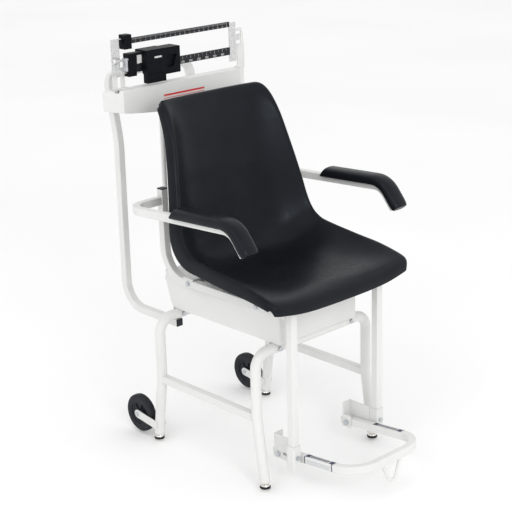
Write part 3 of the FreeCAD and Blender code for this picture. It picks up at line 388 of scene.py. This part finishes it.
def blend_points(points, steps):
    """Points of any size on a smooth curve through the given ones (Catmull-Rom)."""
    out = []
    last = len(points) - 1
    for i in range(last):
        a, b, c, d = points[max(i - 1, 0)], points[i], points[i + 1], points[min(i + 2, last)]
        for s in range(steps):
            t = s / steps
            out.append([0.5 * (2 * q + (r - p) * t + (2 * p - 5 * q + 4 * r - u) * t * t
                               + (3 * q - p - 3 * r + u) * t ** 3)
                        for p, q, r, u in zip(a, b, c, d)])
    out.append(list(points[-1]))
    return out


def middle(name):
    low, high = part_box(name)
    return (low + high) / 2


# ---------------------------------------------------------------------------
# seat shell
# ---------------------------------------------------------------------------
# each row: centre line y and z, then the rim's half width, y and z, then the depth
# of the turned-down flank; mm, from the lower front corner of the shell's box
SHELL_STATIONS = [(0.0, 0.0, 214.0, 5.0, 13.0, 13.0),
                  (0.8, 16.0, 220.0, 8.0, 30.0, 15.0),
                  (11.0, 31.0, 225.0, 17.0, 41.0, 18.0),
                  (44.0, 38.5, 226.5, 37.0, 50.0, 22.0),
                  (106.0, 34.5, 224.0, 101.0, 65.0, 30.0),
                  (166.0, 29.5, 222.5, 166.0, 72.5, 33.0),
                  (276.0, 22.5, 219.5, 266.0, 86.5, 36.0),
                  (336.0, 31.5, 218.6, 298.0, 95.5, 40.0),
                  (376.0, 65.5, 216.5, 319.0, 113.5, 40.0),
                  (394.0, 128.5, 213.0, 333.0, 143.5, 35.0),
                  (399.0, 183.5, 206.0, 344.0, 190.5, 29.0),
                  (404.0, 243.5, 197.0, 357.0, 243.5, 27.0),
                  (417.0, 303.5, 186.0, 372.0, 301.5, 27.0),
                  (432.0, 358.5, 176.5, 389.0, 356.5, 27.0),
                  (445.0, 398.5, 170.0, 412.0, 398.5, 25.0),
                  (453.0, 417.5, 165.5, 431.0, 418.0, 21.0),
                  (460.0, 424.5, 160.0, 444.0, 425.5, 15.0),
                  (468.0, 424.5, 156.0, 455.0, 426.0, 10.0)]
SHELL_WALL = 6.0


def shell_ring(station, run, corner):
    """Outer and inner points of half a section, from the centre out to the flank's edge."""
    y, z, half, rim_y, rim_z, flank = station
    down = Vector((0, run.z, -run.y))
    centre = Vector((0, y, z))
    lift = Vector((0, rim_y - y, rim_z - z))
    wall = SHELL_WALL
    outer = [(0, 0, 0), (0.16 * half, 0.005, 0), (0.32 * half, 0.025, 0), (0.48 * half, 0.09, 0),
             (0.63 * half, 0.22, 0), (0.76 * half, 0.44, 0), (0.87 * half, 0.72, 0), (half - 12, 0.92, 0),
             (half - 4, 1.0, 0), (half + 2.5, 1.0, 4), (half + 4.5, 1.0, 10), (half + 5.5, 1.0, 0.6 * flank),
             (half + 6, 1.0, flank - 1.5), (half + 5, 1.0, flank)]
    inner = [(0, 0, wall), (0.16 * half, 0.005, wall), (0.32 * half, 0.025, wall),
             (0.48 * half, 0.09, wall), (0.63 * half - 1, 0.22, wall), (0.76 * half - 2, 0.44, wall),
             (0.87 * half - 3, 0.72, wall), (half - 15, 0.92, wall), (half - 8, 1.0, wall + 1),
             (half - 3, 1.0, wall + 3), (half - 1, 1.0, wall + 7), (half + 0.5, 1.0, 0.65 * flank),
             (half + 1, 1.0, flank - 1.5), (half + 2.5, 1.0, flank)]

    def place(x, part, depth):
        return corner + (centre + Vector((x, 0, 0)) + lift * part + down * depth) * MM

    return [place(*p) for p in outer], [place(*p) for p in inner]


def mirrored(points):
    return [Vector((-p.x, p.y, p.z)) for p in points]


def seat_shell():
    low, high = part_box("seat_shell")
    corner = Vector((0, low.y, low.z))
    stations = blend_points(SHELL_STATIONS, 3)
    shape = Shape()
    verts = []
    for i, station in enumerate(stations):
        before = stations[max(i - 1, 0)]
        after = stations[min(i + 1, len(stations) - 1)]
        run = Vector((0, after[0] - before[0], after[1] - before[1])).normalized()
        outer, inner = shell_ring(station, run, corner)
        left = list(reversed(mirrored(outer[1:])))
        verts.append(left + outer + list(reversed(inner)) + mirrored(inner[1:]))
    shape.rings(verts, ends=False)
    count = len(verts[0])
    shape.strip_ends(count, (len(verts) - 1) * count)
    skin = shape.piece("seat_shell_skin", "seat", "black_seat", SEAT, subdivide=2)
    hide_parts("seat_shell")


# ---------------------------------------------------------------------------
# arm pads
# ---------------------------------------------------------------------------
ARM_RISE = math.radians(3.0)
ARM_TURN = math.radians(54.0)
PAD_START = 167.5
PAD_BEND = 363.5
PAD_BEND_R = 44.0
PAD_TAIL = 70.0
PAD_UNDER = 4.5
PAD_HALF = 23.0
PAD_TOP = 29.5
PAD_SLANT = 24.0
CHANNEL = 9.9


def pad_route():
    """(y, z, heading) along the arm from the pad's rear end to its tip, from the pivot."""
    rise = ARM_RISE
    turn = ARM_TURN
    reach = (PAD_BEND - PAD_START) / math.cos(rise)
    cut = PAD_BEND_R * math.tan(turn / 2)
    start = Vector((-PAD_START, PAD_START * math.tan(rise)))
    route = []
    ahead = Vector((-math.cos(rise), math.sin(rise)))
    straight = reach - cut
    for s in (0, 1.5, 5, 11, 20, 36, 60, 90, 120, 150):
        if s < straight - 12:
            route.append((start + ahead * s, rise))
    centre = start + ahead * straight + Vector((-math.sin(rise), -math.cos(rise))) * PAD_BEND_R
    for k in range(9):
        heading = rise - turn * k / 8
        normal = Vector((math.sin(heading), math.cos(heading)))
        route.append((centre + normal * PAD_BEND_R, heading))
    heading = rise - turn
    ahead = Vector((-math.cos(heading), math.sin(heading)))
    end = route[-1][0]
    for s in (12, 24, 34, 42, PAD_TAIL - cut - 1.2, PAD_TAIL - cut):
        route.append((end + ahead * s, heading))
    return route


def pad_section(shrink):
    """Half outline of the pad across the arm, from the crown down to the channel."""
    half = PAD_HALF - shrink
    top = PAD_TOP - shrink
    base = PAD_UNDER + shrink * 0.5
    points = []
    for k in range(8):
        a = math.pi / 2 * k / 7
        points.append((half * math.sin(a) ** 0.8, base + 9 + (top - base - 9) * math.cos(a) ** 0.6))
    points += [(half - 0.3, base + 5), (half - 1.5, base + 1.5), (half - 4, base)]
    points += [(CHANNEL + 1.5, base), (CHANNEL, base + 1), (CHANNEL, 9.7), (CHANNEL * 0.6, 9.9)]
    return points


def arm_pad(side):
    """Padded cover that follows the arm from behind the bend down to its tip."""
    pivot = PIVOT["arm_" + side + "_lift"]
    centre_x = middle("arm_pad_" + side).x
    route = pad_route()
    count = len(route)
    rings = []
    for i, (at, heading) in enumerate(route):
        shrink = {0: 3.2, 1: 0.9}.get(i, 0.0)
        shrink = {count - 1: 4.5, count - 2: 2.6, count - 3: 0.9}.get(i, shrink)
        up = Vector((math.sin(heading), math.cos(heading)))
        ahead = Vector((-math.cos(heading), math.sin(heading)))
        fade = max(0.0, 1 - i / 7)
        half = pad_section(shrink)
        ring = []
        for flip in (1, -1):
            for x, h in half if flip == 1 else reversed(half):
                lean = PAD_SLANT * fade * (h - PAD_UNDER) / (PAD_TOP - PAD_UNDER)
                spot = at + up * h + ahead * lean
                ring.append(Vector((centre_x + flip * x * MM, pivot.y + spot.x * MM, pivot.z + spot.y * MM)))
        rings.append(ring)
    shape = Shape().rings(rings, ends=False)
    points = len(rings[0])
    shape.strip_ends(points, (count - 1) * points)
    pad = shape.piece("arm_pad_" + side + "_cover", "arm_" + side, "black_pad", PAD, subdivide=2)
    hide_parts("arm_pad_" + side)


# ---------------------------------------------------------------------------
# wheels
# ---------------------------------------------------------------------------
def wheel(side):
    """Grooved tyre and ribbed hub disc of one transport wheel."""
    low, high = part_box("tyre_" + side)
    hub_low, hub_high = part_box("hub_" + side)
    centre = (low + high) / 2
    radius = (high.z - low.z) / 2
    half = (high.x - low.x) / 2
    inner = 0.62 * radius
    outline = [(inner, -0.55 * half), (inner, -0.8 * half), (0.72 * radius, -0.86 * half),
               (0.80 * radius, -half), (0.93 * radius, -0.96 * half), (0.985 * radius, -0.72 * half),
               (radius, -0.45 * half)]
    for k in (-1, 1):
        outline += [(radius, (0.30 * k - 0.07) * half), (0.975 * radius, (0.30 * k - 0.03) * half),
                    (0.975 * radius, (0.30 * k + 0.03) * half), (radius, (0.30 * k + 0.07) * half)]
    outline += [(radius, 0.45 * half), (0.985 * radius, 0.72 * half), (0.93 * radius, 0.96 * half),
                (0.80 * radius, half), (0.72 * radius, 0.86 * half), (inner, 0.8 * half),
                (inner, 0.55 * half)]
    tyre = Shape().lathe(outline, centre, (1, 0, 0), 96)
    piece = tyre.piece("tyre_" + side + "_tread", "wheel_" + side, "black_rubber", RUBBER, bevel=0.4 * MM)
    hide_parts("tyre_" + side)
    boss = (hub_high.x - hub_low.x) / 2
    bore = 4.05 * MM
    disc = [(bore, -boss), (9 * MM, -boss), (10 * MM, -0.8 * boss), (11.5 * MM, -0.42 * half),
            (0.50 * radius, -0.36 * half), (0.56 * radius, -0.62 * half), (inner, -0.66 * half),
            (inner, 0.66 * half), (0.56 * radius, 0.62 * half), (0.50 * radius, 0.36 * half),
            (11.5 * MM, 0.42 * half), (10 * MM, 0.8 * boss), (9 * MM, boss), (bore, boss)]
    hub = Shape().lathe(disc, centre, (1, 0, 0), 96)
    for k in range(6):
        turn = Matrix.Rotation(math.radians(60 * k + 15), 3, "X")
        for face in (-1, 1):
            rib = [(13 * MM, 0.38 * half), (0.49 * radius, 0.32 * half), (0.52 * radius, 0.60 * half),
                   (13 * MM, 0.72 * half)]
            ends = []
            for t in (-1.3 * MM, 1.3 * MM):
                ends.append([centre + turn @ Vector((face * x, t, r)) for r, x in rib])
            hub.rings(ends)
    piece = hub.piece("hub_" + side + "_disc", "wheel_" + side, "black_plastic", PLASTIC, bevel=0.5 * MM)
    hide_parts("hub_" + side)


# ---------------------------------------------------------------------------
# weigh beam: graduations, balance knob, poises
# ---------------------------------------------------------------------------
INK_T = 0.15 * MM
KNOB_FLUTES = 36
FLUTE_STEPS = 4


def mark_bar(shape, x, front, low, high, width):
    """One graduation line."""
    shape.prism([(-width / 2, low), (width / 2, low), (width / 2, high), (-width / 2, high)],
                (x, front, 0), (1, 0, 0), (0, 0, 1), INK_T)


def numeral(text, x, front, z, height, name):
    """Mesh of a plain number on a bar's front."""
    curve = bpy.data.curves.new(name, "FONT")
    curve.body = text
    curve.size = height
    curve.align_x = "CENTER"
    curve.extrude = INK_T / 2
    source = bpy.data.objects.new(name + "_outline", curve)
    bpy.context.scene.collection.objects.link(source)
    source.rotation_euler = (math.pi / 2, 0, 0)
    source.location = (x, front - INK_T / 2, z)
    bpy.context.view_layer.update()
    mesh = bpy.data.meshes.new_from_object(source)
    mesh.transform(source.matrix_world)
    bpy.data.objects.remove(source)
    return mesh


def graduations(name, bar, first, last, fine, per_long, per_number, step_value, height):
    """White graduations and numbers on the front of one bar."""
    low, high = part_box(bar)
    front = low.y
    tall = high.z - low.z
    shape = Shape()
    labels = []
    count = round((last - first) / fine)
    for k in range(count + 1):
        x = low.x + first + k * fine
        long = k % per_long == 0
        top = high.z - 0.06 * tall
        length, width = (0.42 * tall, 0.5 * MM) if long else (0.26 * tall, 0.35 * MM)
        mark_bar(shape, x, front, top - length, top, width)
        if k % per_number == 0:
            labels.append(numeral(str(k // per_number * step_value), x, front, low.z + 0.1 * tall,
                                  height, name + "_n%d" % k))
    for mesh in labels:
        shape.add([v.co for v in mesh.vertices], [tuple(p.vertices) for p in mesh.polygons])
    shape.piece(name, "beam", "black_beam", INK_WHITE, smooth=False)


def balance_knob():
    """Fluted knob with a stepped neck."""
    low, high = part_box("balance_knob")
    centre = (low + high) / 2
    radius = (high.z - low.z) / 2
    half = (high.x - low.x) / 2
    bore = 2.6 * MM
    outline = [(bore, -half), (0.62 * radius, -half), (0.72 * radius, -0.93 * half),
               (0.90 * radius, -0.80 * half), (radius, -0.66 * half), (radius, 0.02 * half),
               (0.92 * radius, 0.12 * half), (0.62 * radius, 0.22 * half), (0.55 * radius, 0.32 * half),
               (0.53 * radius, 0.9 * half), (0.47 * radius, half), (bore, half)]
    rings = []
    steps = KNOB_FLUTES * FLUTE_STEPS
    for s in range(steps):
        a = 2 * math.pi * s / steps
        ring = []
        for r, h in outline:
            reach = fluted(r, radius, s)
            ring.append(centre + Vector((h, math.cos(a) * reach, math.sin(a) * reach)))
        rings.append(ring)
    piece = Shape().rings(rings, closed=True).piece("balance_knob_knurl", "balance_knob", "chrome_trim", KNOB)
    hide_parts("balance_knob")


def fluted(r, radius, step):
    """Radius at one step round the knob; only its rim is fluted."""
    depth = 0.045 * radius if r > 0.89 * radius else 0.0
    return r - depth * (0.5 + 0.5 * math.cos(2 * math.pi * step / FLUTE_STEPS))


def poise_details():
    """Plain badge, parting lines and the bright end plate of the large poise."""
    low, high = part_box("big_poise")
    width = high.x - low.x
    top = high.z
    badge = Shape().prism(rounded(0.36 * width, 4.2 * MM, 1.2 * MM),
                          (low.x + 0.56 * width, low.y, top - 19 * MM), (1, 0, 0), (0, 0, 1), 0.4 * MM)
    badge.piece("poise_badge", "big_poise", "bright_plate", PLATE, bevel=0.12 * MM)
    seams = Shape()
    for z, inset in ((top - 31 * MM, 8), (top - 55 * MM, 4)):
        seams.prism(rounded(width - inset * MM, 0.8 * MM, 0.3 * MM), (low.x + width / 2, low.y, z),
                    (1, 0, 0), (0, 0, 1), 0.3 * MM)
    seams.piece("poise_seams", "big_poise", "black_poise", POISE)

    bar_low, bar_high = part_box("lower_bar")
    clear = 1.0 * MM
    rear = low.y + 0.80 * (high.y - low.y)
    plate = Shape()
    for y0, y1, z0, z1 in ((bar_low.y - clear, rear, bar_high.z + clear, top - 9.5 * MM),
                           (bar_high.y + clear, rear, bar_low.z, bar_high.z + clear)):
        corners = [(y0, z0), (y1, z0), (y1, z1), (y0, z1)]
        plate.rings([[(x, y, z) for y, z in corners] for x in (low.x, low.x - 1.2 * MM)])
    plate.piece("poise_end_plate", "big_poise", "bright_plate", PLATE, bevel=0.2 * MM)


# ---------------------------------------------------------------------------
# foot-rest labels and shelf stripe
# ---------------------------------------------------------------------------
FOOT_TILT = math.radians(5.7)
TUBE_HALF = 9.5
LABEL_FROM = 82.0
LABEL_TO = 171.0
LABEL_EDGE = 2.5
LABEL_BAR = 3.0
TUBE_CORNER = 2.2
LINE_T = 0.9
FILM = 0.12


def foot_label(name, sign, centre_x):
    """Blank label wrapped over the top and the outer side of one foot-rest arm."""
    pivot = PIVOT["footrest_fold"]
    ahead = Vector((0, -math.cos(FOOT_TILT), math.sin(FOOT_TILT)))
    up = Vector((0, math.sin(FOOT_TILT), math.cos(FOOT_TILT)))
    side = Vector((sign, 0, 0))
    origin = Vector((centre_x, pivot.y, pivot.z))

    def spot(s, x, z):
        """Point s ahead of the pivot, x outwards and z upwards from the arm's middle, in mm."""
        return origin + ahead * (s * MM) + side * (x * MM) + up * (z * MM)

    def wrap(shape, s0, s1, lift, mark):
        h = TUBE_HALF + lift
        r = TUBE_CORNER
        outline = [(-TUBE_HALF + LABEL_EDGE, h)]
        for a in range(0, 91, 15):
            turn = math.radians(a)
            outline.append((h - r + r * math.sin(turn), h - r + r * math.cos(turn)))
        outline.append((h, -TUBE_HALF + LABEL_EDGE))
        rows = [spot(s, x, z) for s in (s0, s1) for x, z in outline]
        n = len(outline)
        shape.add(rows, [(k, k + 1, n + k + 1, n + k) for k in range(n - 1)], mark)

    face = TUBE_HALF + 2 * FILM
    paper = Shape()
    wrap(paper, LABEL_FROM, LABEL_TO, FILM, 0)
    for s0 in (LABEL_FROM, LABEL_TO - LABEL_BAR):
        wrap(paper, s0, s0 + LABEL_BAR, 2 * FILM, 1)
    paper.piece(name, "footrest", "white_powder_coat", [PAPER, INK_NAVY])

    blocks = [(LABEL_FROM + LABEL_BAR, 11, 6.5), (LABEL_TO - 14, 11, 6.5)]
    blocks += [(LABEL_FROM + 16 + k * 6.4, 4.4, 5.5) for k in range(9)]
    band = Shape()
    for s0, long, half in blocks:
        corners = ((s0, -half), (s0 + long, -half), (s0 + long, half), (s0, half))
        band.add([spot(s, x, face) for s, x in corners], [(0, 1, 2, 3)])
    band.piece(name + "_band", "footrest", "white_powder_coat", INK_NAVY, smooth=False)

    lines = Shape()
    start = LABEL_FROM + 8
    end = LABEL_TO - 8
    for z in (4.2, 1.2, -1.8, -4.8):
        corners = ((start, z), (end, z), (end, z - LINE_T), (start, z - LINE_T))
        lines.add([spot(s, face, h) for s, h in corners], [(0, 1, 2, 3)])
    lines.piece(name + "_lines", "footrest", "white_powder_coat", INK_GREY, smooth=False)


def shelf_stripe():
    """Plain red stripe on the front of the beam shelf."""
    low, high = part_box("beam_shelf")
    half = 66 * MM
    z = high.z - 30 * MM
    stripe = Shape()
    for drop, tall in ((0, 4.5), (7.5, 1.5)):
        stripe.prism(rounded(2 * half, tall * MM, 0.6 * MM), (0, low.y, z - drop * MM),
                     (1, 0, 0), (0, 0, 1), FILM * MM)
    stripe.piece("shelf_stripe", "stand", "white_powder_coat", INK_RED, smooth=False)


# ---------------------------------------------------------------------------
# camera, light and floor
# ---------------------------------------------------------------------------
LENS = 95.8015
PITCH = math.radians(18.22)
AZIMUTH = math.radians(-43.22)
ROLL = math.radians(-1.45)
DISTANCE = 3.32949
AIM = Vector((0.0, 0.026124, 0.4525))
SLIDE = Vector((-0.00215, 0.0306))
SENSOR = 36.0
WORLD = 1.0
FLOOR_R = 40.0
FLOOR_STEPS = 96
FLOOR_GAP = 0.5 * MM


def camera():
    level = Vector((math.cos(AZIMUTH), math.sin(AZIMUTH), 0))
    away = Vector((math.sin(AZIMUTH), -math.cos(AZIMUTH), 0))
    back = away * math.cos(PITCH) + Vector((0, 0, math.sin(PITCH)))
    rise = level.cross(-back)
    right = level * math.cos(ROLL) + rise * math.sin(ROLL)
    up = rise * math.cos(ROLL) - level * math.sin(ROLL)
    place = AIM + back * DISTANCE + right * SLIDE.x + up * SLIDE.y
    data = bpy.data.cameras.new("camera")
    data.sensor_width = SENSOR
    data.lens = LENS
    data.clip_end = 100
    obj = bpy.data.objects.new("camera", data)
    obj.matrix_world = Matrix(((right.x, up.x, back.x, place.x), (right.y, up.y, back.y, place.y),
                               (right.z, up.z, back.z, place.z), (0, 0, 0, 1)))
    bpy.context.scene.collection.objects.link(obj)
    bpy.context.scene.camera = obj


def area_light(name, place, size, power, target=(0, 0, 0.5)):
    data = bpy.data.lights.new(name, "AREA")
    data.shape = "DISK"
    data.size = size
    data.energy = power
    obj = bpy.data.objects.new(name, data)
    obj.location = place
    obj.rotation_euler = (Vector(target) - Vector(place)).to_track_quat("-Z", "Y").to_euler()
    bpy.context.scene.collection.objects.link(obj)


def studio():
    scene = bpy.context.scene
    scene.view_settings.view_transform = "Standard"
    world = bpy.data.worlds.new("studio")
    world.use_nodes = True
    world.node_tree.nodes["Background"].inputs["Color"].default_value = (1, 1, 1, 1)
    world.node_tree.nodes["Background"].inputs["Strength"].default_value = WORLD
    scene.world = world
    area_light("key", (-3.0, -0.6, 3.0), 1.8, 14)
    area_light("front", (-1.3, -3.0, 1.9), 1.5, 27)
    finish = Finish("studio_floor", 0.9, specular=0.1)
    finish.colour(finish.noise(0.8, 2), (0.3, grey(0.93)), (0.7, grey(0.96)))
    mesh = bpy.data.meshes.new("floor")
    mesh.from_pydata([(x, y, -FLOOR_GAP) for x, y in circle(FLOOR_R, FLOOR_STEPS)], [],
                     [tuple(range(FLOOR_STEPS))])
    mesh.materials.append(finish.material)
    floor = bpy.data.objects.new("floor", mesh)
    scene.collection.objects.link(floor)


camera()
studio()
dress_nodes()
seat_shell()
for side in ("left", "right"):
    arm_pad(side)
    wheel(side)
graduations("upper_marks", "upper_bar", 34 * MM, 344 * MM, 3.1 * MM, 5, 5, 1, 4.2 * MM)
graduations("lower_marks", "lower_bar", 87.5 * MM, 312 * MM, 13.25 * MM, 2, 2, 50, 7.5 * MM)
balance_knob()
poise_details()
for side, sign in (("left", -1), ("right", 1)):
    low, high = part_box("footrest_tube")
    edge = low.x if sign < 0 else high.x
    foot_label("foot_label_" + side, sign, edge - sign * TUBE_HALF * MM)
shelf_stripe()
